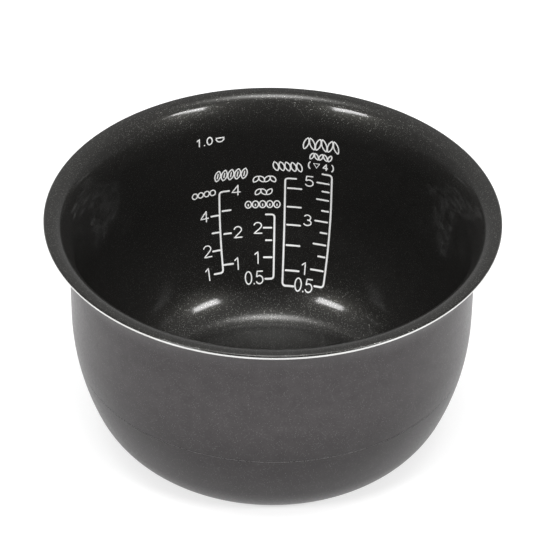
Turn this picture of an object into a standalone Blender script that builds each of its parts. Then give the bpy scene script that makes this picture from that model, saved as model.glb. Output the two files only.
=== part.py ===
"""Removable inner pan of a small rice cooker: a drawn aluminium pan with a rolled-out lip, a non-stick
lining, two outside coatings and printed level scales.  Metres, +Z up, origin at the centre of the base."""
import math

import bmesh
import bpy
from mathutils import Matrix, Vector

MM = 0.001

# Overall form, on the outside of the coatings
RIM_RADIUS = 100.0 * MM
TOTAL_HEIGHT = 109.5 * MM
WALL = 2.3 * MM
WALL_TOP_RADIUS = 89.4 * MM
WALL_DRAFT = math.radians(1.05)
BELLY_START_DEPTH = 49.8 * MM
BELLY_RADIUS = 115.0 * MM
BELLY_END = math.radians(22.4)
LOWER_RADIUS = 38.4 * MM
LOWER_END = math.radians(50.0)
LIP_RADIUS = 6.5 * MM
LIP_FLAT_RADIUS = 97.4 * MM
LIP_BEND = math.radians(56.0)

# Layers, from the outside in
COATING = 0.25 * MM
LAYER_GAP = 0.2 * MM
CORE_OUTER = COATING + LAYER_GAP
CORE_INNER = WALL - COATING - LAYER_GAP

# Where the coatings stop
BEAD_RADIUS = WALL / 2
COATING_EDGE_RADIUS = RIM_RADIUS - 1.8 * MM
BEAD_STEP_RADIUS = COATING_EDGE_RADIUS + LAYER_GAP
STEP_LINE_ANGLE = math.radians(10.0)
STEP_LINE_GAP = 0.3 * MM
LOWER_COAT_END = math.radians(76.0)
BARE_BASE_START = math.radians(79.0)

# Printed marks: a thin film just inside the lining
INK = 0.2 * MM
STROKE = 0.65 * MM
FILM_TOP = 80.0 * MM
FILM_BOTTOM = 11.0 * MM
STENCIL_INNER = 60.0 * MM
STENCIL_OUTER = 95.0 * MM
NUMERAL_WIDTH = 3.2 * MM
NUMERAL_HEIGHT = 5.4 * MM
POINT_SIZE = 0.8 * MM

LATHE_STEPS = 60
ARC_STEP = math.radians(12.0)


# ---------------------------------------------------------------- scene

def clear_scene():
    for old in list(bpy.data.objects):
        bpy.data.objects.remove(old, do_unlink=True)


def new_collection(name):
    collection = bpy.data.collections.new(name)
    bpy.context.scene.collection.children.link(collection)
    return collection


def new_material(name, colour, roughness, metallic):
    material = bpy.data.materials.new(name)
    material.use_nodes = True
    shader = material.node_tree.nodes["Principled BSDF"]
    shader.inputs["Base Color"].default_value = (*colour, 1.0)
    shader.inputs["Roughness"].default_value = roughness
    shader.inputs["Metallic"].default_value = metallic
    return material


# ---------------------------------------------------------------- turned profile

def arc(centre, radius, start, end):
    """Points of an arc whose outward normal dips from start to end below the horizontal."""
    count = max(1, math.ceil(abs(end - start) / ARC_STEP))
    angles = [start + (end - start) * i / count for i in range(count + 1)]
    return [(centre[0] + radius * math.cos(a), centre[1] - radius * math.sin(a)) for a in angles]


def next_centre(centre, radius, angle, next_radius):
    """Centre of the arc that carries on, tangent, from the given arc at the given angle."""
    shift = radius - next_radius
    return (centre[0] + shift * math.cos(angle), centre[1] - shift * math.sin(angle))


# Height of the wall's end and the centres of the four arcs that follow one another
BELLY_TOP = TOTAL_HEIGHT - BELLY_START_DEPTH
BELLY_TOP_RADIUS = WALL_TOP_RADIUS - BELLY_START_DEPTH * math.tan(WALL_DRAFT)
BELLY_CENTRE = next_centre((BELLY_TOP_RADIUS, BELLY_TOP), 0.0, WALL_DRAFT, BELLY_RADIUS)
LOWER_CENTRE = next_centre(BELLY_CENTRE, BELLY_RADIUS, BELLY_END, LOWER_RADIUS)
LOWER_END_HEIGHT = LOWER_CENTRE[1] - LOWER_RADIUS * math.sin(LOWER_END)
CORNER_RADIUS = LOWER_END_HEIGHT / (1 - math.sin(LOWER_END))
CORNER_CENTRE = next_centre(LOWER_CENTRE, LOWER_RADIUS, LOWER_END, CORNER_RADIUS)

# The lip bends down from its flat edge in a tight arc, which a wider flare carries on into the wall
LIP_CENTRE = (LIP_FLAT_RADIUS, TOTAL_HEIGHT - LIP_RADIUS)


def lean(angle):
    """Direction of the lip's inside surface where it has turned by the angle from level."""
    return (-math.sin(angle), math.cos(angle))


def flare_radius():
    """Radius of the inside arc that leaves the bend's end and meets the inside of the wall, both tangent."""
    wall = lean(math.pi / 2 - WALL_DRAFT)
    bend = lean(LIP_BEND)
    across = wall[0] * bend[0] + wall[1] * bend[1]
    wall_top = (WALL_TOP_RADIUS - WALL / math.cos(WALL_DRAFT), TOTAL_HEIGHT)
    reach = sum(w * (p - c) for w, p, c in zip(wall, wall_top, LIP_CENTRE))
    return (reach - LIP_RADIUS * across) / (1 - across)


FLARE_RADIUS = flare_radius()
FLARE_CENTRE = tuple(c - (FLARE_RADIUS - LIP_RADIUS) * d for c, d in zip(LIP_CENTRE, lean(LIP_BEND)))


def turned_arc(centre, radius, start, end):
    """Points of a lip arc that turns from start to end, both measured from level."""
    count = math.ceil((end - start) / ARC_STEP)
    angles = [start + (end - start) * i / count for i in range(count + 1)]
    return [tuple(c + radius * d for c, d in zip(centre, lean(a))) for a in angles]


def lip(inset, edge_radius):
    """The lip's section at a depth below the outside surface, from edge_radius in to the wall."""
    below_top = WALL - inset
    edge = [(edge_radius, TOTAL_HEIGHT - below_top)]
    bend = turned_arc(LIP_CENTRE, LIP_RADIUS - below_top, 0.0, LIP_BEND)
    flare = turned_arc(FLARE_CENTRE, FLARE_RADIUS - below_top, LIP_BEND, math.pi / 2 - WALL_DRAFT)
    return joined(edge, bend, flare)


def belly(inset, start=WALL_DRAFT, end=BELLY_END):
    return arc(BELLY_CENTRE, BELLY_RADIUS - inset, start, end)


def lower(inset):
    return arc(LOWER_CENTRE, LOWER_RADIUS - inset, BELLY_END, LOWER_END)


def corner(inset, start=LOWER_END, end=math.pi / 2):
    return arc(CORNER_CENTRE, CORNER_RADIUS - inset, start, end)


def joined(*stretches):
    """Stretches of one outline in turn, without the repeated point where two meet."""
    points = []
    for stretch in stretches:
        for point in stretch:
            if not points or math.dist(points[-1], point) > 0.01 * MM:
                points.append(point)
    return points


def lathe(name, outline, closed):
    """A body turned about Z: the outline runs down its outer side."""
    mesh = bpy.data.meshes.new(name)
    edges = [(i, i + 1) for i in range(len(outline) - 1)]
    if closed:
        edges.append((len(outline) - 1, 0))
    mesh.from_pydata([(x, 0.0, z) for x, z in outline], edges, [])
    turned = bpy.data.objects.new(name, mesh)
    screw = turned.modifiers.new("Turn", "SCREW")
    screw.axis = "Z"
    screw.angle = math.tau
    screw.steps = LATHE_STEPS
    screw.render_steps = LATHE_STEPS
    screw.use_merge_vertices = True
    screw.merge_threshold = 0.00001
    screw.use_smooth_shade = True
    return turned


def add_part(part, material, collection):
    part.data.materials.append(material)
    collection.objects.link(part)
    return part


# ---------------------------------------------------------------- the pan and its coatings

def pan_body():
    """Drawn aluminium with a bare round bead along the rim and a bare flat base."""
    bead_centre = (RIM_RADIUS - BEAD_RADIUS, TOTAL_HEIGHT - BEAD_RADIUS)
    bead = arc(bead_centre, BEAD_RADIUS, -math.pi / 2, math.pi / 2)
    inside = joined(lip(CORE_INNER, BEAD_STEP_RADIUS), belly(CORE_INNER), lower(CORE_INNER),
                    corner(CORE_INNER), [(0.0, CORE_INNER)])
    outside = joined(lip(CORE_OUTER, BEAD_STEP_RADIUS), belly(CORE_OUTER), lower(CORE_OUTER),
                     corner(CORE_OUTER, end=BARE_BASE_START), corner(0.0, start=BARE_BASE_START),
                     [(0.0, 0.0)])
    bead_top = [(BEAD_STEP_RADIUS, TOTAL_HEIGHT)]
    bead_bottom = [(BEAD_STEP_RADIUS, TOTAL_HEIGHT - WALL)]
    return lathe("pan_body", joined(inside[::-1], bead_top, bead, bead_bottom, outside), closed=False)


def nonstick_lining():
    """Dark lining over the lip, down the wall and across the floor."""
    face = joined(lip(WALL, COATING_EDGE_RADIUS), belly(WALL), lower(WALL), corner(WALL), [(0.0, WALL)])
    back_inset = WALL - COATING
    back = joined(lip(back_inset, COATING_EDGE_RADIUS), belly(back_inset), lower(back_inset),
                  corner(back_inset), [(0.0, back_inset)])
    return lathe("nonstick_lining", face[::-1] + back, closed=False)


def upper_coating():
    """Grey paint from under the lip down to the step line."""
    face = joined(lip(0.0, COATING_EDGE_RADIUS), belly(0.0, end=STEP_LINE_ANGLE))
    back = joined(lip(COATING, COATING_EDGE_RADIUS), belly(COATING, end=STEP_LINE_ANGLE))
    return lathe("upper_coating", face + back[::-1], closed=True)


def lower_coating():
    """Slightly darker paint from the step line round the corner to the edge of the bare base."""
    start = STEP_LINE_ANGLE + STEP_LINE_GAP / BELLY_RADIUS
    face = joined(belly(0.0, start=start), lower(0.0), corner(0.0, end=LOWER_COAT_END))
    back = joined(belly(COATING, start=start), lower(COATING), corner(COATING, end=LOWER_COAT_END))
    return lathe("lower_coating", face + back[::-1], closed=True)


# ---------------------------------------------------------------- printed marks

# One scale: where its upright stands, and its marks as (label, height, from, to).  Widths run along the
# wall from the upright, positive to the right as seen from the centre of the pan.
TWO_SIDED = "two_sided_scale"
SHORT = "short_scale"
PLAIN = "plain_scale"
LONG = "long_scale"

BRACKETS = {
    TWO_SIDED: (-16.6, 21.9, 62.5, ((62.5, 4.6), (50.0, -4.0), (25.3, 4.9), (21.9, -4.2))),
    SHORT: (0.5, 17.6, 48.4, ((48.4, -4.0), (17.6, -3.8))),
    PLAIN: (3.6, 14.9, 68.4, ((68.4, 5.0), (14.9, 5.1))),
    LONG: (18.0, 16.1, 72.8, ((72.8, -4.5), (16.1, -4.2))),
}

TICKS = {
    TWO_SIDED: (("right_3", 51.9, 1.4, 5.2), ("right_2", 40.0, 1.8, 5.0), ("left_3", 41.3, -3.8, -0.7),
                ("left_2", 32.5, -4.0, -0.7)),
    SHORT: (("2", 41.6, -4.9, -1.4), ("1_5", 35.4, -3.8, -1.3), ("1", 27.3, -4.6, -1.0)),
    PLAIN: (("5", 63.0, 1.3, 7.5), ("4", 52.8, 1.3, 7.4), ("3", 43.4, 1.3, 7.3), ("2", 33.3, 1.3, 7.3),
            ("1", 21.6, 1.3, 7.3)),
    LONG: (("5", 67.8, -6.9, -1.4), ("4_5", 63.3, -4.3, -1.3), ("4", 58.6, -6.8, -1.4),
           ("3_5", 52.7, -4.2, -1.3), ("3", 47.0, -7.1, -1.4), ("2_5", 41.3, -4.2, -1.3),
           ("2", 35.4, -7.0, -1.3), ("1_5", 29.7, -4.2, -1.2), ("1", 23.2, -6.9, -1.2)),
}

# Numerals as (name, digit, azimuth in degrees, height of the middle)
NUMERALS = {
    TWO_SIDED: (("right_4", "4", -11.4, 62.4), ("right_2", "2", -11.0, 40.2), ("right_1", "1", -11.4, 25.2),
                ("left_4", "4", -21.5, 50.6), ("left_2", "2", -21.3, 33.0), ("left_1", "1", -21.6, 22.4)),
    SHORT: (("2", "2", -4.7, 41.6), ("1", "1", -4.7, 27.3), ("half_0", "0", -8.1, 18.3),
            ("half_point", ".", -6.2, 18.3), ("half_5", "5", -4.3, 18.3)),
    LONG: (("5", "5", 11.0, 67.8), ("3", "3", 10.8, 46.6), ("1", "1", 11.0, 23.2),
           ("half_0", "0", 9.1, 15.9), ("half_point", ".", 11.0, 15.9), ("half_5", "5", 12.9, 15.9)),
}

# The seven strokes of a blocky numeral, on a grid of half widths and half heights
SEGMENTS = {
    "top": ((-1, 1), (1, 1)), "middle": ((-1, 0), (1, 0)), "bottom": ((-1, -1), (1, -1)),
    "upper_left": ((-1, 0), (-1, 1)), "upper_right": ((1, 0), (1, 1)),
    "lower_left": ((-1, -1), (-1, 0)), "lower_right": ((1, -1), (1, 0)),
}
DIGITS = {
    "0": ("top", "bottom", "upper_left", "upper_right", "lower_left", "lower_right"),
    "1": ("upper_right", "lower_right"),
    "2": ("top", "upper_right", "middle", "lower_left", "bottom"),
    "3": ("top", "upper_right", "middle", "lower_right", "bottom"),
    "4": ("upper_left", "middle", "upper_right", "lower_right"),
    "5": ("top", "upper_left", "middle", "lower_right", "bottom"),
}


def ink_film():
    """Ring-shaped film that lies just inside the lining; each mark is a patch of it."""
    def surface(inset):
        points = joined(belly(inset), lower(inset))
        above = [(points[0][0] + (FILM_TOP - points[0][1]) * math.tan(WALL_DRAFT), FILM_TOP)]
        return above + [p for p in points if p[1] > FILM_BOTTOM]
    back = surface(WALL + LAYER_GAP)
    face = surface(WALL + LAYER_GAP + INK)
    return lathe("ink_film", back + face[::-1], closed=True)


def stroke_box(mesh, start, end, width):
    """One upright or level stroke of a stencil, as a box that reaches through the wall along +Y."""
    half = width / 2
    low = Vector((min(start[0], end[0]) - half, STENCIL_INNER, min(start[1], end[1]) - half))
    high = Vector((max(start[0], end[0]) + half, STENCIL_OUTER, max(start[1], end[1]) + half))
    size = high - low
    placing = Matrix.Translation((low + high) / 2) @ Matrix.Diagonal((*size, 1.0))
    bmesh.ops.create_cube(mesh, size=1.0, matrix=placing)


def printed_mark(name, azimuth, strokes, width, film):
    """A patch of the film cut out by a stencil of strokes, each ((x, z), (x, z)) across the azimuth."""
    stencil = bmesh.new()
    for start, end in strokes:
        stroke_box(stencil, start, end, width)
    turn = Matrix.Rotation(-math.radians(azimuth), 4, "Z")
    bmesh.ops.transform(stencil, matrix=turn, verts=stencil.verts)
    mesh = bpy.data.meshes.new(name)
    stencil.to_mesh(mesh)
    stencil.free()
    mark = bpy.data.objects.new(name, mesh)
    cut = mark.modifiers.new("Film", "BOOLEAN")
    cut.operation = "INTERSECT"
    cut.solver = "EXACT"
    cut.use_self = True
    cut.object = film
    return mark


def bracket_strokes(bottom, top, arms):
    strokes = [((0.0, bottom * MM), (0.0, top * MM))]
    for height, reach in arms:
        strokes.append(((0.0, height * MM), (reach * MM, height * MM)))
    return strokes


def digit_strokes(digit, middle):
    half_width = (NUMERAL_WIDTH - STROKE) / 2
    half_height = (NUMERAL_HEIGHT - STROKE) / 2
    return [tuple((u * half_width, middle + v * half_height) for u, v in SEGMENTS[name])
            for name in DIGITS[digit]]


def scale_marks(film):
    for scale, (azimuth, bottom, top, arms) in BRACKETS.items():
        yield printed_mark(scale + "_bracket", azimuth, bracket_strokes(bottom, top, arms), STROKE, film)
    for scale, ticks in TICKS.items():
        azimuth = BRACKETS[scale][0]
        for label, height, near, far in ticks:
            strokes = [((near * MM, height * MM), (far * MM, height * MM))]
            yield printed_mark(scale + "_tick_" + label, azimuth, strokes, STROKE, film)
    for scale, numerals in NUMERALS.items():
        for label, digit, azimuth, height in numerals:
            name = scale + "_numeral_" + label
            if digit == ".":
                foot = height * MM - (NUMERAL_HEIGHT - POINT_SIZE) / 2
                yield printed_mark(name, azimuth, [((0.0, foot), (0.0, foot))], POINT_SIZE, film)
            else:
                yield printed_mark(name, azimuth, digit_strokes(digit, height * MM), STROKE, film)


# ---------------------------------------------------------------- build

def build():
    clear_scene()
    pan = new_collection("rice_cooker_inner_pan")
    cutters = new_collection("cutters")

    add_part(pan_body(), new_material("bare_aluminium", (0.72, 0.72, 0.71), 0.35, 1.0), pan)
    add_part(nonstick_lining(), new_material("nonstick_black", (0.018, 0.018, 0.018), 0.38, 0.0), pan)
    add_part(upper_coating(), new_material("paint_grey", (0.10, 0.098, 0.098), 0.42, 0.4), pan)
    add_part(lower_coating(), new_material("paint_dark_grey", (0.075, 0.073, 0.073), 0.45, 0.4), pan)

    film = ink_film()
    film.hide_render = True
    film.display_type = "WIRE"
    cutters.objects.link(film)
    ink = new_material("ink_light_grey", (0.50, 0.50, 0.49), 0.5, 0.0)
    for mark in scale_marks(film):
        add_part(mark, ink, pan)


build()
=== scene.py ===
"""Looks for the rice cooker's inner pan: fine turned metal, coatings and printed scales on the CAD frame."""
import math

import bmesh
import bpy
from mathutils import Matrix, Vector


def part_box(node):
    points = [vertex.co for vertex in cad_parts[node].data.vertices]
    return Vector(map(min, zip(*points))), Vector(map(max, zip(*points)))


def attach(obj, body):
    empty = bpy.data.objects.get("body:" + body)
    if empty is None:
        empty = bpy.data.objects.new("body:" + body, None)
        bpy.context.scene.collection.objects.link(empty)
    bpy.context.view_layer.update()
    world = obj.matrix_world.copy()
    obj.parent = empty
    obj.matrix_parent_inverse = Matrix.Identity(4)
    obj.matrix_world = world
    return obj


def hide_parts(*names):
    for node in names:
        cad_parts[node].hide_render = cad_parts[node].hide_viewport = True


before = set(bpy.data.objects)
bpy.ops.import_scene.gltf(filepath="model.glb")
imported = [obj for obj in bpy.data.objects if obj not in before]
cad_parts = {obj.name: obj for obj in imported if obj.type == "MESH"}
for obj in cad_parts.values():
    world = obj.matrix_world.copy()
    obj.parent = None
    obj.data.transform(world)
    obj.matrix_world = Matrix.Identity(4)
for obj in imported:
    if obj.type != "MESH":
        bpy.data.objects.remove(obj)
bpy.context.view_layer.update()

MM = 0.001

# Overall form, on the outside of the coatings; the rim and the height come from the frame
RIM_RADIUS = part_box("pan_body")[1].x
TOTAL_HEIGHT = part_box("pan_body")[1].z
WALL = 2.3 * MM
WALL_TOP_RADIUS = 89.4 * MM
WALL_DRAFT = math.radians(1.05)
BELLY_START_DEPTH = 49.8 * MM
BELLY_RADIUS = 115.0 * MM
BELLY_END = math.radians(22.4)
LOWER_RADIUS = 38.4 * MM
LOWER_END = math.radians(50.0)
LIP_RADIUS = 6.5 * MM
LIP_FLAT_RADIUS = 97.4 * MM
LIP_BEND = math.radians(56.0)

# Coatings: how far each skin stands off the metal, how thick it is, and where it stops
SKIN = 0.05 * MM
SKIN_THICKNESS = 0.8 * SKIN
BARE_BAND_DEPTH = 0.01 * MM
BEAD_RADIUS = WALL / 2
BARE_TOP = math.radians(20.0)
BARE_BOTTOM = math.radians(40.0)
STEP_LINE_ANGLE = math.radians(10.0)
STEP_LINE_GAP = 0.155 * MM
LOWER_COAT_END = math.radians(76.0)
BARE_BASE_START = math.radians(77.0)

# Turned meshes, and how near two points of an outline are one
SAME_POINT = 0.001 * MM
LATHE_STEPS = 240
ARC_STEP = math.radians(1.5)

# How far metal flakes lean in the lining, as the spread of their normals
FLAKE_TILT = 0.3

# Where the painted shade on the outside paint begins and ends, as shares of the pan's height: it darkens the
# lower wall, which reflects the shadowed floor near the pan
PAINTED_SHADE_LOW = 0.36
PAINTED_SHADE_HIGH = 0.57

# Print
INK = 0.03 * MM
INK_SUNK = 0.02 * MM
STROKE_RISE = 0.006 * MM
STROKE = 0.85 * MM
THIN_STROKE = 0.58 * MM
NUMERAL_WIDTH = 3.7 * MM
NUMERAL_HEIGHT = 5.4 * MM


# ---------------------------------------------------------------- turned profile

def arc(centre, radius, start, end):
    """Points of an arc whose outward normal dips from start to end below the horizontal."""
    count = max(1, math.ceil(abs(end - start) / ARC_STEP))
    angles = [start + (end - start) * i / count for i in range(count + 1)]
    return [(centre[0] + radius * math.cos(a), centre[1] - radius * math.sin(a)) for a in angles]


def next_centre(centre, radius, angle, next_radius):
    """Centre of the arc that carries on, tangent, from the given arc at the given angle."""
    shift = radius - next_radius
    return (centre[0] + shift * math.cos(angle), centre[1] - shift * math.sin(angle))


BELLY_TOP = TOTAL_HEIGHT - BELLY_START_DEPTH
BELLY_TOP_RADIUS = WALL_TOP_RADIUS - BELLY_START_DEPTH * math.tan(WALL_DRAFT)
BELLY_CENTRE = next_centre((BELLY_TOP_RADIUS, BELLY_TOP), 0.0, WALL_DRAFT, BELLY_RADIUS)
LOWER_CENTRE = next_centre(BELLY_CENTRE, BELLY_RADIUS, BELLY_END, LOWER_RADIUS)
LOWER_END_HEIGHT = LOWER_CENTRE[1] - LOWER_RADIUS * math.sin(LOWER_END)
CORNER_RADIUS = LOWER_END_HEIGHT / (1 - math.sin(LOWER_END))
CORNER_CENTRE = next_centre(LOWER_CENTRE, LOWER_RADIUS, LOWER_END, CORNER_RADIUS)
LIP_CENTRE = (LIP_FLAT_RADIUS, TOTAL_HEIGHT - LIP_RADIUS)
BEAD_CENTRE = (RIM_RADIUS - BEAD_RADIUS, TOTAL_HEIGHT - BEAD_RADIUS)


def lean(angle):
    """Direction of the lip's inside surface where it has turned by the angle from level."""
    return (-math.sin(angle), math.cos(angle))


def flare_radius():
    """Radius of the inside arc that leaves the bend's end and meets the inside of the wall, both tangent."""
    wall = lean(math.pi / 2 - WALL_DRAFT)
    bend = lean(LIP_BEND)
    across = wall[0] * bend[0] + wall[1] * bend[1]
    wall_top = (WALL_TOP_RADIUS - WALL / math.cos(WALL_DRAFT), TOTAL_HEIGHT)
    reach = sum(w * (p - c) for w, p, c in zip(wall, wall_top, LIP_CENTRE))
    return (reach - LIP_RADIUS * across) / (1 - across)


FLARE_RADIUS = flare_radius()
FLARE_CENTRE = tuple(c - (FLARE_RADIUS - LIP_RADIUS) * d for c, d in zip(LIP_CENTRE, lean(LIP_BEND)))


def turned_arc(centre, radius, start, end):
    """Points of a lip arc that turns from start to end, both measured from level."""
    count = math.ceil((end - start) / ARC_STEP)
    angles = [start + (end - start) * i / count for i in range(count + 1)]
    return [tuple(c + radius * d for c, d in zip(centre, lean(a))) for a in angles]


def lip(inset):
    """The lip's section at a depth below the outside surface, from the bead in to the wall."""
    below_top = WALL - inset
    bend = turned_arc(LIP_CENTRE, LIP_RADIUS - below_top, 0.0, LIP_BEND)
    flare = turned_arc(FLARE_CENTRE, FLARE_RADIUS - below_top, LIP_BEND, math.pi / 2 - WALL_DRAFT)
    return bend + flare[1:]


def belly(inset, start=WALL_DRAFT, end=BELLY_END):
    return arc(BELLY_CENTRE, BELLY_RADIUS - inset, start, end)


def lower(inset):
    return arc(LOWER_CENTRE, LOWER_RADIUS - inset, BELLY_END, LOWER_END)


def corner(inset, start=LOWER_END, end=math.pi / 2):
    return arc(CORNER_CENTRE, CORNER_RADIUS - inset, start, end)


def bead(depth, start, end):
    return arc(BEAD_CENTRE, BEAD_RADIUS - depth, start, end)


def joined(*stretches):
    """Stretches of one outline in turn, without the repeated point where two meet."""
    points = []
    for stretch in stretches:
        for point in stretch:
            if not points or math.dist(points[-1], point) > SAME_POINT:
                points.append(point)
    return points


def wall_radius(height, inset):
    """Radius, at a height up to the lip's flare, of the surface at a depth below the outside."""
    if height > FLARE_CENTRE[1] + FLARE_RADIUS * lean(math.pi / 2 - WALL_DRAFT)[1]:
        radius = FLARE_RADIUS - WALL + inset
        return FLARE_CENTRE[0] - math.sqrt(radius ** 2 - (height - FLARE_CENTRE[1]) ** 2)
    if height > BELLY_TOP + inset * math.sin(WALL_DRAFT):
        return WALL_TOP_RADIUS - (TOTAL_HEIGHT - height) * math.tan(WALL_DRAFT) - inset / math.cos(WALL_DRAFT)
    belly_end = BELLY_CENTRE[1] - (BELLY_RADIUS - inset) * math.sin(BELLY_END)
    centre, radius = (BELLY_CENTRE, BELLY_RADIUS) if height > belly_end else (LOWER_CENTRE, LOWER_RADIUS)
    return centre[0] + math.sqrt((radius - inset) ** 2 - (height - centre[1]) ** 2)


# ---------------------------------------------------------------- making pieces

def finish_mesh(name, mesh_work, sharp=35.0):
    """A linked, smooth-shaded object from a bmesh, with edges sharper than the angle kept crisp."""
    bmesh.ops.recalc_face_normals(mesh_work, faces=mesh_work.faces)
    mesh = bpy.data.meshes.new(name)
    mesh_work.to_mesh(mesh)
    mesh_work.free()
    mesh.shade_smooth()
    mesh.set_sharp_from_angle(angle=math.radians(sharp))
    piece = bpy.data.objects.new(name, mesh)
    bpy.context.scene.collection.objects.link(piece)
    return piece


def lathe(name, outline, closed):
    """A body turned about Z from an outline of (radius, height) points."""
    work = bmesh.new()
    verts = [work.verts.new((x, 0.0, z)) for x, z in outline]
    pairs = list(zip(verts, verts[1:]))
    if closed:
        pairs.append((verts[-1], verts[0]))
    edges = [work.edges.new(pair) for pair in pairs]
    bmesh.ops.spin(work, geom=verts + edges, cent=(0, 0, 0), axis=(0, 0, 1), angle=math.tau,
                   steps=LATHE_STEPS, use_merge=True)
    bmesh.ops.remove_doubles(work, verts=work.verts, dist=0.0005 * MM)
    return finish_mesh(name, work)


def place(piece, material, slot, *nodes):
    piece.data.materials.append(material)
    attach(piece, "root")
    if nodes:
        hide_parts(*nodes)


# ---------------------------------------------------------------- materials

class Graph:
    """A node tree with short ways to add nodes."""

    def __init__(self, tree):
        self.tree = tree

    def add(self, kind, **settings):
        node = self.tree.nodes.new(kind)
        for key, value in settings.items():
            setattr(node, key, value)
        return node

    def link(self, source, target):
        self.tree.links.new(source, target)

    def math(self, operation, *values):
        node = self.add("ShaderNodeMath", operation=operation)
        for socket, value in zip(node.inputs, values):
            if isinstance(value, (int, float)):
                socket.default_value = value
            else:
                self.link(value, socket)
        return node.outputs["Value"]

    def vector(self, operation, first, second, scale=None, result="Vector"):
        node = self.add("ShaderNodeVectorMath", operation=operation)
        for socket, value in zip(node.inputs, (first, second)):
            if isinstance(value, tuple):
                socket.default_value = value
            elif value is not None:
                self.link(value, socket)
        if scale is not None:
            self.link(scale, node.inputs["Scale"])
        return node.outputs[result]


class Shader(Graph):
    """A Principled material with short ways to add procedural patterns."""

    def __init__(self, name, **sockets):
        self.material = bpy.data.materials.new(name)
        self.material.use_nodes = True
        super().__init__(self.material.node_tree)
        self.principled = self.tree.nodes["Principled BSDF"]
        for socket, value in sockets.items():
            self.principled.inputs[socket.replace("_", " ")].default_value = value
        self.coordinates = self.add("ShaderNodeTexCoord").outputs["Object"]

    def noise(self, size, detail=2.0, roughness=0.5):
        """Noise whose features are about size across."""
        node = self.add("ShaderNodeTexNoise")
        node.inputs["Scale"].default_value = 1.0 / size
        node.inputs["Detail"].default_value = detail
        node.inputs["Roughness"].default_value = roughness
        self.link(self.coordinates, node.inputs["Vector"])
        return node.outputs["Fac"]

    def ramp(self, value, *stops):
        """A value or colour read from stops of (position, grey or colour)."""
        node = self.add("ShaderNodeValToRGB")
        ramp = node.color_ramp
        while len(ramp.elements) < len(stops):
            ramp.elements.new(0.5)
        for element, (position, colour) in zip(ramp.elements, stops):
            element.position = position
            colour = colour if isinstance(colour, tuple) else (colour,) * 3
            element.color = (*colour, 1.0)
        self.link(value, node.inputs["Fac"])
        return node.outputs["Color"]

    def mix(self, factor, first, second, blend="MIX"):
        node = self.add("ShaderNodeMix", data_type="RGBA", blend_type=blend)
        for socket, value in ((node.inputs[0], factor), (node.inputs[6], first), (node.inputs[7], second)):
            if isinstance(value, (int, float)):
                socket.default_value = value
            elif isinstance(value, tuple):
                socket.default_value = (*value, 1.0)
            else:
                self.link(value, socket)
        return node.outputs[2]

    def flakes(self, cell, size, share):
        """A mask of round flakes, one to a cell in that share of the cells, and a random colour each."""
        node = self.add("ShaderNodeTexVoronoi")
        node.inputs["Scale"].default_value = 1.0 / cell
        self.link(self.coordinates, node.inputs["Vector"])
        near = self.math("LESS_THAN", node.outputs["Distance"], size / cell)
        split = self.add("ShaderNodeSeparateColor")
        self.link(node.outputs["Color"], split.inputs["Color"])
        chosen = self.math("LESS_THAN", split.outputs["Red"], share)
        random = self.add("ShaderNodeTexWhiteNoise", noise_dimensions="3D")
        self.link(node.outputs["Position"], random.inputs["Vector"])
        return self.math("MULTIPLY", near, chosen), random.outputs["Color"]

    def tilt(self, *flakes):
        """The surface normal, leant over at random on each flake."""
        normal = self.add("ShaderNodeNewGeometry").outputs["Normal"]
        for mask, colour in flakes:
            centred = self.vector("SUBTRACT", colour, (0.5, 0.5, 0.5))
            lean_over = self.vector("SCALE", centred, None, scale=self.math("MULTIPLY", mask, FLAKE_TILT))
            normal = self.vector("ADD", normal, lean_over)
        return self.vector("NORMALIZE", normal, None)

    def bump(self, height, distance, strength=1.0, under=None):
        node = self.add("ShaderNodeBump")
        node.inputs["Distance"].default_value = distance
        node.inputs["Strength"].default_value = strength
        self.link(height, node.inputs["Height"])
        if under is not None:
            self.link(under, node.inputs["Normal"])
        return node.outputs["Normal"]

    def radius(self):
        """Distance from the pan's axis."""
        split = self.add("ShaderNodeSeparateXYZ")
        self.link(self.coordinates, split.inputs["Vector"])
        across = self.math("MULTIPLY", split.outputs["X"], split.outputs["X"])
        along = self.math("MULTIPLY", split.outputs["Y"], split.outputs["Y"])
        return self.math("SQRT", self.math("ADD", across, along))

    def height(self):
        """Height above the base, as a share of the pan's height."""
        split = self.add("ShaderNodeSeparateXYZ")
        self.link(self.coordinates, split.inputs["Vector"])
        return self.math("DIVIDE", split.outputs["Z"], TOTAL_HEIGHT)

    def feed(self, **links):
        for socket, source in links.items():
            self.link(source, self.principled.inputs[socket.replace("_", " ")])
        return self.material


def bare_aluminium():
    """Trimmed and turned metal: fine rings about the axis, a little cloudy."""
    shader = Shader("bare_aluminium", Metallic=1.0, Roughness=0.3)
    rings = shader.math("SINE", shader.math("MULTIPLY", shader.radius(), math.tau / (0.35 * MM)))
    wobble = shader.noise(0.6 * MM, 3.0)
    cloud = shader.noise(14 * MM, 3.0)
    colour = shader.ramp(cloud, (0.3, (0.58, 0.58, 0.57)), (0.7, (0.68, 0.68, 0.67)))
    rough = shader.ramp(wobble, (0.3, 0.24), (0.7, 0.36))
    bump = shader.bump(shader.math("ADD", rings, wobble), 0.004 * MM)
    return shader.feed(Base_Color=colour, Roughness=rough, Normal=bump)


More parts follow.
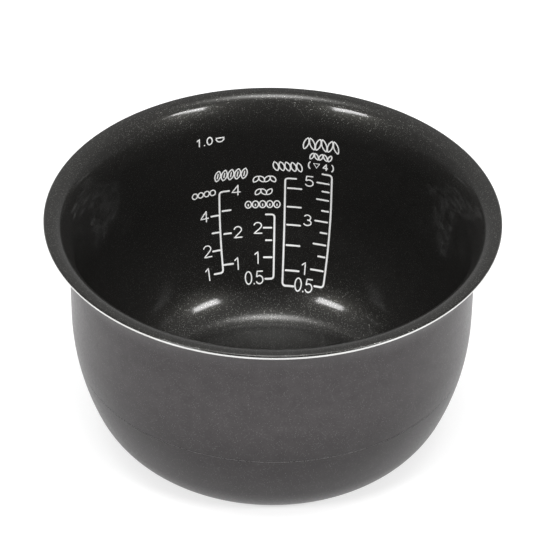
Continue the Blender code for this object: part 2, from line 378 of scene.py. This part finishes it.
def nonstick_lining():
    """Black fluoropolymer with a fine orange peel and tilted metal flakes that glint near highlights."""
    shader = Shader("nonstick_black", Specular_IOR_Level=0.15, Specular_Tint=(1.0, 0.98, 0.88, 1.0),
                    Coat_Weight=0.45, Coat_Roughness=0.10)
    mottle = shader.noise(3.0 * MM, 4.0, 0.6)
    black = shader.ramp(mottle, (0.3, (0.0096, 0.0093, 0.0089)), (0.7, (0.0132, 0.0127, 0.0121)))
    small, small_tilt = shader.flakes(0.34 * MM, 0.10 * MM, 0.22)
    large, large_tilt = shader.flakes(0.9 * MM, 0.13 * MM, 0.2)
    flake = shader.math("MAXIMUM", small, large)
    colour = shader.mix(flake, black, (0.22, 0.22, 0.205))
    rough = shader.ramp(shader.noise(0.8 * MM, 2.0), (0.3, 0.32), (0.7, 0.38))
    tilted = shader.tilt((small, small_tilt), (large, large_tilt))
    peel = shader.bump(shader.noise(0.7 * MM, 3.0, 0.55), 0.003 * MM, under=tilted)
    return shader.feed(Base_Color=colour, Roughness=rough, Metallic=flake, Normal=peel)


def outside_paint(name):
    """Dark grey metallic paint: fine flake grain, faint mottling, and painted shade that darkens it towards
    the base, where the wall reflects the shadowed floor.
    """
    shader = Shader(name, Specular_IOR_Level=0.14, Specular_Tint=(1.0, 0.96, 0.97, 1.0))
    mottle = shader.ramp(shader.noise(6.0 * MM, 4.0, 0.6),
                         (0.3, (0.0455, 0.0422, 0.0432)), (0.7, (0.0562, 0.0521, 0.0533)))
    grain = shader.ramp(shader.noise(0.35 * MM, 3.0, 0.7), (0.3, (0.8, 0.8, 0.8)), (0.7, (1.2, 1.2, 1.2)))
    # Painted shade: the colour darkens towards the base, standing for the shadowed floor that the lower wall
    # reflects.
    fade = shader.ramp(shader.height(), (PAINTED_SHADE_LOW, 0.62), (PAINTED_SHADE_HIGH, 1.0))
    colour = shader.mix(1.0, shader.mix(1.0, mottle, grain, "MULTIPLY"), fade, "MULTIPLY")
    flake, _ = shader.flakes(0.45 * MM, 0.1 * MM, 0.25)
    colour = shader.mix(shader.math("MULTIPLY", flake, 0.5), colour, (0.32, 0.32, 0.32))
    rough = shader.ramp(shader.noise(1.2 * MM, 2.0), (0.3, 0.28), (0.7, 0.36))
    peel = shader.bump(shader.noise(1.1 * MM, 3.0, 0.5), 0.012 * MM)
    return shader.feed(Base_Color=colour, Roughness=rough, Normal=peel)


def ink():
    """Baked light grey print, slightly uneven in thickness."""
    shader = Shader("ink_light_grey", Roughness=0.5)
    speckle = shader.noise(0.25 * MM, 3.0, 0.6)
    colour = shader.ramp(speckle, (0.3, (0.80, 0.80, 0.79)), (0.7, (0.92, 0.92, 0.91)))
    bump = shader.bump(speckle, 0.006 * MM)
    return shader.feed(Base_Color=colour, Normal=bump)


def floor_material():
    shader = Shader("studio_floor", Roughness=0.9)
    shader.principled.inputs["Specular IOR Level"].default_value = 0.1
    shader.principled.inputs["Emission Color"].default_value = (1.0, 1.0, 1.0, 1.0)
    shader.principled.inputs["Emission Strength"].default_value = 0.6
    cloud = shader.ramp(shader.noise(0.4, 2.0), (0.3, (0.48, 0.48, 0.48)), (0.7, (0.50, 0.50, 0.50)))
    return shader.feed(Base_Color=cloud)


# ---------------------------------------------------------------- the pan and its coatings

def pan_metal():
    """The aluminium: it shows at the rim's bare band, at the step line and at the base."""
    inset = WALL - SKIN
    inside = joined(lip(inset), belly(inset), lower(inset), corner(inset), [(0.0, inset)])
    over = bead(SKIN, -math.pi / 2, -BARE_TOP)
    band = bead(BARE_BAND_DEPTH, -BARE_TOP * 0.94, BARE_BOTTOM * 0.96)
    under = bead(SKIN, BARE_BOTTOM, math.pi / 2)
    outside = joined(lip(SKIN), belly(SKIN), lower(SKIN), corner(SKIN, end=BARE_BASE_START),
                     corner(0.0, start=BARE_BASE_START), [(0.0, 0.0)])
    return lathe("pan_metal", joined(inside[::-1], over, band, under, outside), closed=False)


def lining():
    def line(inset):
        edge = bead(WALL - inset, -BARE_TOP, -math.pi / 2)
        return joined(edge, lip(inset), belly(inset), lower(inset), corner(inset), [(0.0, inset)])
    return lathe("lining", line(WALL)[::-1] + line(WALL - SKIN_THICKNESS), closed=False)


def upper_paint():
    def line(inset):
        return joined(bead(inset, BARE_BOTTOM, math.pi / 2), lip(inset), belly(inset, end=STEP_LINE_ANGLE))
    return lathe("upper_paint", line(0.0) + line(SKIN_THICKNESS)[::-1], closed=True)


def lower_paint():
    start = STEP_LINE_ANGLE + STEP_LINE_GAP / BELLY_RADIUS

    def line(inset):
        return joined(belly(inset, start=start), lower(inset), corner(inset, end=LOWER_COAT_END))
    return lathe("lower_paint", line(0.0) + line(SKIN_THICKNESS)[::-1], closed=True)


# ---------------------------------------------------------------- print

def on_wall(azimuth, along, height, lift):
    """A point on the lining: along is measured round the wall from the azimuth, lift is towards the axis."""
    radius = wall_radius(height, WALL + lift)
    angle = math.radians(azimuth) + along / radius
    return Vector((radius * math.sin(angle), radius * math.cos(angle), height))


def ellipse(centre, half_width, half_height, start=0.0, end=360.0):
    """Points of an elliptical arc, in degrees from the right and anticlockwise."""
    count = max(4, round(abs(end - start) / 15))
    points = []
    for i in range(count + 1):
        a = math.radians(start + (end - start) * i / count)
        points.append((centre[0] + half_width * math.cos(a), centre[1] + half_height * math.sin(a)))
    return points


def spaced(points, step):
    """The polyline with long runs divided, so that a stroke follows the curved wall."""
    result = [points[0]]
    for a, b in zip(points, points[1:]):
        count = max(1, math.ceil(math.dist(a, b) / step))
        result += [(a[0] + (b[0] - a[0]) * i / count, a[1] + (b[1] - a[1]) * i / count)
                   for i in range(1, count + 1)]
    return result


def rounded(points, radius):
    """The polyline with its inner corners turned into short curves."""
    result = [points[0]]
    for before, at, after in zip(points, points[1:], points[2:]):
        cut = min(radius, math.dist(before, at) / 2, math.dist(at, after) / 2)
        first = [p + (q - p) * cut / math.dist(at, before) for p, q in zip(at, before)]
        last = [p + (q - p) * cut / math.dist(at, after) for p, q in zip(at, after)]
        for i in range(6):
            t = i / 5
            weights = ((1 - t) ** 2, 2 * t * (1 - t), t * t)
            result.append(tuple(sum(w * p[k] for w, p in zip(weights, (first, at, last))) for k in (0, 1)))
    return result + [points[-1]]


def stroke_rows(points, width, closed):
    """(left, right) pairs along a stroke of the given width, with round ends."""
    half = width / 2
    count = len(points)
    tangents = []
    for i in range(count):
        before = points[i - 1] if i or closed else points[i]
        after = points[(i + 1) % count] if i < count - 1 or closed else points[i]
        length = math.dist(before, after)
        tangents.append(((after[0] - before[0]) / length, (after[1] - before[1]) / length))
    rows = [(p, t, half) for p, t in zip(points, tangents)]
    if not closed:
        cap = [math.radians(a) for a in (84, 66, 48, 30, 12)]
        start, end = rows[0], rows[-1]

        def ends(row, sign, angles):
            (x, y), (tx, ty), _ = row
            return [((x + sign * half * math.sin(a) * tx, y + sign * half * math.sin(a) * ty), (tx, ty),
                     half * math.cos(a)) for a in angles]
        rows = ends(start, -1, cap) + rows + ends(end, 1, cap[::-1])
    return [((x - ty * h, y + tx * h), (x + ty * h, y - tx * h)) for (x, y), (tx, ty), h in rows]


def add_stroke(work, azimuth, points, width, lift, closed=False):
    """One raised stroke of ink on the lining, as a closed solid."""
    rings = []
    for left, right in stroke_rows(points, width, closed):
        corners = ((left, lift), (right, lift), (right, -INK_SUNK), (left, -INK_SUNK))
        rings.append([work.verts.new(on_wall(azimuth, *point, rise)) for point, rise in corners])
    pairs = list(zip(rings, rings[1:]))
    if closed:
        pairs.append((rings[-1], rings[0]))
    else:
        work.faces.new(rings[0])
        work.faces.new(rings[-1][::-1])
    for a, b in pairs:
        for k in range(4):
            work.faces.new((a[k], a[(k + 1) % 4], b[(k + 1) % 4], b[k]))


def print_strokes(name, azimuth, strokes, width):
    """A printed mark made of strokes; each lies a hair above the one before, so that none share a face."""
    work = bmesh.new()
    for number, points in enumerate(strokes):
        closed = len(points) > 3 and math.dist(points[0], points[-1]) < SAME_POINT
        if closed:
            points = points[:-1]
        else:
            points = spaced(points, 1.0 * MM)
        add_stroke(work, azimuth, points, width, INK + number * STROKE_RISE, closed)
    return finish_mesh(name, work, sharp=50.0)


# Each glyph is a list of strokes in a box one wide and one high
GLYPHS = {
    "0": [ellipse((0.5, 0.5), 0.46, 0.5)],
    "1": [[(0.12, 0.78), (0.5, 1.0), (0.5, 0.0)]],
    "2": [ellipse((0.5, 0.71), 0.46, 0.29, 165, -25) + [(0.72, 0.42), (0.04, 0.0), (1.0, 0.0)]],
    "3": [ellipse((0.48, 0.745), 0.4, 0.255, 150, -80), ellipse((0.48, 0.265), 0.48, 0.265, 85, -150)],
    "4": [[(0.74, 0.0), (0.74, 1.0)], [(0.74, 1.0), (0.0, 0.3), (1.0, 0.3)]],
    "5": [[(0.92, 1.0), (0.16, 1.0), (0.08, 0.55)] + ellipse((0.48, 0.32), 0.5, 0.32, 135, -150)],
    ".": [[(0.5, 0.0), (0.5, 0.02)]],
}


def glyph_strokes(glyph, centre, width, height):
    """A glyph's strokes, scaled about its centre."""
    return [[(centre[0] + (x - 0.5) * width, centre[1] + (y - 0.5) * height) for x, y in stroke]
            for stroke in GLYPHS[glyph]]


TWO_SIDED = "two_sided_scale"
SHORT = "short_scale"
PLAIN = "plain_scale"
LONG = "long_scale"

# The upright's azimuth, its ends, and its arms as (height, reach), as in the CAD model
BRACKETS = {
    TWO_SIDED: (-16.6, 21.9, 62.5, ((62.5, 4.6), (50.0, -4.0), (25.3, 4.9), (21.9, -4.2))),
    SHORT: (0.5, 17.6, 48.4, ((48.4, -4.0), (17.6, -3.8))),
    PLAIN: (3.6, 14.9, 68.4, ((68.4, 5.0), (14.9, 5.1))),
    LONG: (18.0, 16.1, 72.8, ((72.8, -4.5), (16.1, -4.2))),
}
TICKS = {
    TWO_SIDED: (("right_3", 51.9, 1.4, 5.2), ("right_2", 40.0, 1.8, 5.0), ("left_3", 41.3, -3.8, -0.7),
                ("left_2", 32.5, -4.0, -0.7)),
    SHORT: (("2", 41.6, -4.9, -1.4), ("1_5", 35.4, -3.8, -1.3), ("1", 27.3, -4.6, -1.0)),
    PLAIN: (("5", 63.0, 1.3, 7.5), ("4", 52.8, 1.3, 7.4), ("3", 43.4, 1.3, 7.3), ("2", 33.3, 1.3, 7.3),
            ("1", 21.6, 1.3, 7.3)),
    LONG: (("5", 67.8, -6.9, -1.4), ("4_5", 63.3, -4.3, -1.3), ("4", 58.6, -6.8, -1.4),
           ("3_5", 52.7, -4.2, -1.3), ("3", 47.0, -7.1, -1.4), ("2_5", 41.3, -4.2, -1.3),
           ("2", 35.4, -7.0, -1.3), ("1_5", 29.7, -4.2, -1.2), ("1", 23.2, -6.9, -1.2)),
}
NUMERALS = {
    TWO_SIDED: (("right_4", "4", -11.4, 62.4), ("right_2", "2", -11.0, 40.2), ("right_1", "1", -11.4, 25.2),
                ("left_4", "4", -21.5, 50.6), ("left_2", "2", -21.3, 33.0), ("left_1", "1", -21.6, 22.4)),
    SHORT: (("2", "2", -4.7, 41.6), ("1", "1", -4.7, 27.3), ("half_0", "0", -8.1, 18.3),
            ("half_point", ".", -6.2, 18.3), ("half_5", "5", -4.3, 18.3)),
    LONG: (("5", "5", 11.0, 67.8), ("3", "3", 10.8, 46.6), ("1", "1", 11.0, 23.2),
           ("half_0", "0", 9.1, 15.9), ("half_point", ".", 11.0, 15.9), ("half_5", "5", 12.9, 15.9)),
}


def bracket_strokes(bottom, top, arms):
    """The upright with its end arms as one bent stroke, and any other arm as a stroke of its own."""
    reach = {height: width for height, width in arms}
    spine = [(reach[top] * MM, top * MM), (0.0, top * MM),
             (0.0, bottom * MM), (reach[bottom] * MM, bottom * MM)]
    others = [[(0.0, height * MM), (width * MM, height * MM)] for height, width in arms
              if height not in (top, bottom)]
    return [rounded(spine, 1.6 * MM)] + others


def scale_marks():
    """(CAD node, azimuth, strokes, stroke width) of every mark of the four scales."""
    for scale, (azimuth, bottom, top, arms) in BRACKETS.items():
        yield scale + "_bracket", azimuth, bracket_strokes(bottom, top, arms), STROKE
    for scale, ticks in TICKS.items():
        for label, height, near, far in ticks:
            stroke = [(near * MM, height * MM), (far * MM, height * MM)]
            yield scale + "_tick_" + label, BRACKETS[scale][0], [stroke], STROKE
    for scale, numerals in NUMERALS.items():
        for label, glyph, azimuth, height in numerals:
            width = NUMERAL_WIDTH * (0.86 if "half" in label else 1.0)
            strokes = glyph_strokes(glyph, (0.0, height * MM), width, NUMERAL_HEIGHT)
            yield scale + "_numeral_" + label, azimuth, strokes, THIN_STROKE


# Rows of grains above the scales, in place of names.  (name, kind, azimuth, height, grains, pitch, size)
PICTOGRAMS = (
    ("long_scale_grains", "long", 14.4, 88.5, 6, 2.8, 6.4),
    ("long_scale_mixed_grains", "mixed", 14.4, 81.9, 5, 2.1, 3.6),
    ("long_scale_limit", "limit", 14.5, 76.8, 1, 2.2, 3.0),
    ("plain_scale_grains", "short", 4.3, 74.9, 5, 2.7, 5.0),
    ("two_sided_scale_husked_grains", "husked", -13.0, 71.4, 5, 3.1, 5.6),
    ("two_sided_scale_round_grains", "round", -21.6, 62.8, 4, 2.9, 4.2),
    ("short_scale_top_grains", "cut", -2.7, 67.8, 4, 2.6, 5.2),
    ("short_scale_middle_grains", "cut", -2.9, 60.7, 3, 2.6, 5.2),
    ("short_scale_flakes", "flake", -3.2, 53.9, 5, 3.3, 4.6),
    ("capacity_mark", "capacity", -19.1, 91.6, 1, 2.4, 3.8),
)


def grain_outline(across, height, half_width, half_height, tilt):
    """A closed outline with pointed ends, turned clockwise by the tilt."""
    cos, sin = math.cos(math.radians(tilt)), math.sin(math.radians(tilt))
    points = []
    for i in range(21):
        a = math.tau * i / 20
        x = half_width * math.sin(a) * math.sqrt(abs(math.sin(a)))
        y = half_height * math.cos(a)
        points.append((across + x * cos + y * sin, height - x * sin + y * cos))
    return points


def grain_strokes(kind, number, across, height, size):
    """One grain of a row: its outline, and the seam or cut that tells the kinds apart."""
    half = size / 2
    turn = -1 if number % 2 else 1
    if kind == "long":
        return [grain_outline(across, height, half * 0.34, half, 17.0 * turn)]
    if kind == "mixed":
        return [grain_outline(across, height, half * 0.42, half, 24.0 * turn)]
    if kind == "short":
        return [grain_outline(across, height, half * 0.46, half, -18.0)]
    if kind == "husked":
        return [grain_outline(across, height, half * 0.48, half, 12.0),
                [(across - half * 0.07, height - half * 0.4), (across + half * 0.07, height + half * 0.4)]]
    if kind == "round":
        return [ellipse((across, height), half * 0.6, half * 0.7)]
    if kind == "cut":
        return [grain_outline(across, height, half * 0.42, half * 0.72, 35.0 * turn)]
    return [ellipse((across, height), half * 0.62, half * 0.8),
            [(across, height - half * 0.3), (across, height)]]


def pictogram_strokes(kind, height, count, pitch, size):
    if kind == "limit":
        brackets = [ellipse((s * 1.6 * size, height), 0.35 * size, 0.62 * size, a, b)
                    for s, a, b in ((-1, 110, 250), (1, -70, 70))]
        triangle = [(-1.15 * size, height + 0.4 * size), (-0.25 * size, height + 0.4 * size),
                    (-0.7 * size, height - 0.4 * size), (-1.15 * size, height + 0.4 * size)]
        return brackets + [triangle] + glyph_strokes("4", (0.65 * size, height), 0.7 * size, size)
    if kind == "capacity":
        strokes = []
        for glyph, across in (("1", -1.5), (".", -0.85), ("0", -0.2)):
            strokes += glyph_strokes(glyph, (across * size, height), 0.7 * size, size)
        bowl = ellipse((1.1 * size, height + 0.2 * size), 0.5 * size, 0.55 * size, 180, 360)
        return strokes + [bowl + [bowl[0]]]
    strokes = []
    for i in range(count):
        strokes += grain_strokes(kind, i, (i - (count - 1) / 2) * pitch, height, size)
    return strokes


# ---------------------------------------------------------------- studio

CAMERA_BACK = 1509.3 * MM
CAMERA_ABOVE_RIM = 1094.3 * MM
CAMERA_PITCH = math.radians(36.735)
CAMERA_TURN = math.radians(0.048)
CAMERA_ROLL = math.radians(0.773)
CAMERA_LENS = 280.1
FLOOR_SIZE = 6.0
FLOOR_GAP = 0.05 * MM
BRIGHT_SIDE = (0.0, 0.55, 0.83)
GLOW_AXIS = (0.0, -0.15, 1.0)
GLOW_STRENGTH = 16.0
GLOW_SHARPNESS = 42.0


def add_camera():
    data = bpy.data.cameras.new("camera")
    data.lens = CAMERA_LENS
    data.sensor_width = 36.0
    data.clip_end = 20.0
    camera = bpy.data.objects.new("camera", data)
    position = Matrix.Translation((0.0, -CAMERA_BACK, TOTAL_HEIGHT + CAMERA_ABOVE_RIM))
    turn = Matrix.Rotation(-CAMERA_TURN, 4, "Z")
    tilt = Matrix.Rotation(math.pi / 2 - CAMERA_PITCH, 4, "X")
    roll = Matrix.Rotation(CAMERA_ROLL, 4, "Z")
    camera.matrix_world = position @ turn @ tilt @ roll
    bpy.context.scene.collection.objects.link(camera)
    bpy.context.scene.camera = camera


def add_floor():
    work = bmesh.new()
    bmesh.ops.create_grid(work, x_segments=2, y_segments=2, size=FLOOR_SIZE / 2)
    floor = finish_mesh("studio_floor", work)
    floor.location.z = -FLOOR_GAP
    floor.data.materials.append(floor_material())


def add_softbox(name, direction, distance, size, radiance):
    """A rectangular light that faces the pan's mouth, of the given radiance whatever its size."""
    data = bpy.data.lights.new(name, "AREA")
    data.shape = "RECTANGLE"
    data.size, data.size_y = size
    data.energy = radiance * math.pi * size[0] * size[1]
    light = bpy.data.objects.new(name, data)
    towards = Vector(direction).normalized()
    light.location = Vector((0.0, 0.0, TOTAL_HEIGHT)) + towards * distance
    light.rotation_mode = "QUATERNION"
    light.rotation_quaternion = towards.to_track_quat("Z", "Y")
    bpy.context.scene.collection.objects.link(light)


def add_surround():
    """A white surround that is bright above and behind, dim towards the camera, and brightest overhead."""
    world = bpy.data.worlds.new("studio")
    world.use_nodes = True
    graph = Graph(world.node_tree)
    background = world.node_tree.nodes["Background"]
    direction = graph.add("ShaderNodeTexCoord").outputs["Generated"]
    behind = graph.vector("DOT_PRODUCT", direction, tuple(Vector(BRIGHT_SIDE).normalized()), result="Value")
    fade = graph.add("ShaderNodeMapRange")
    for socket, value in (("From Min", -0.3), ("From Max", 0.55), ("To Min", 0.05), ("To Max", 0.66)):
        fade.inputs[socket].default_value = value
    graph.link(behind, fade.inputs["Value"])
    above = graph.vector("DOT_PRODUCT", direction, tuple(Vector(GLOW_AXIS).normalized()), result="Value")
    peak = graph.math("POWER", graph.math("MAXIMUM", above, 0.0), GLOW_SHARPNESS)
    glow = graph.math("MULTIPLY", peak, GLOW_STRENGTH)
    graph.link(graph.math("ADD", fade.outputs["Result"], glow), background.inputs["Strength"])
    background.inputs["Color"].default_value = (1.0, 1.0, 1.0, 1.0)
    bpy.context.scene.world = world


def add_studio():
    add_floor()
    add_surround()
    add_softbox("right_softbox", (0.64, -0.556, 0.55), 1.5, (0.44, 0.21), 37.0)
    add_softbox("left_softbox", (-0.578, -0.62, 0.54), 1.5, (0.44, 0.21), 37.0)
    bpy.context.scene.view_settings.view_transform = "Standard"


# ---------------------------------------------------------------- build

add_camera()
place(pan_metal(), bare_aluminium(), "bare_aluminium", "pan_body")
place(lining(), nonstick_lining(), "nonstick_black", "nonstick_lining")
place(upper_paint(), outside_paint("paint_grey"), "paint_grey", "upper_coating")
place(lower_paint(), outside_paint("paint_dark_grey"), "paint_dark_grey", "lower_coating")

ink_material = ink()
for node, azimuth, strokes, width in scale_marks():
    place(print_strokes(node + "_print", azimuth, strokes, width), ink_material, "ink_light_grey", node)
for name, kind, azimuth, height, count, pitch, size in PICTOGRAMS:
    strokes = pictogram_strokes(kind, height * MM, count, pitch * MM, size * MM)
    place(print_strokes(name, azimuth, strokes, THIN_STROKE), ink_material, "ink_light_grey")

add_studio()
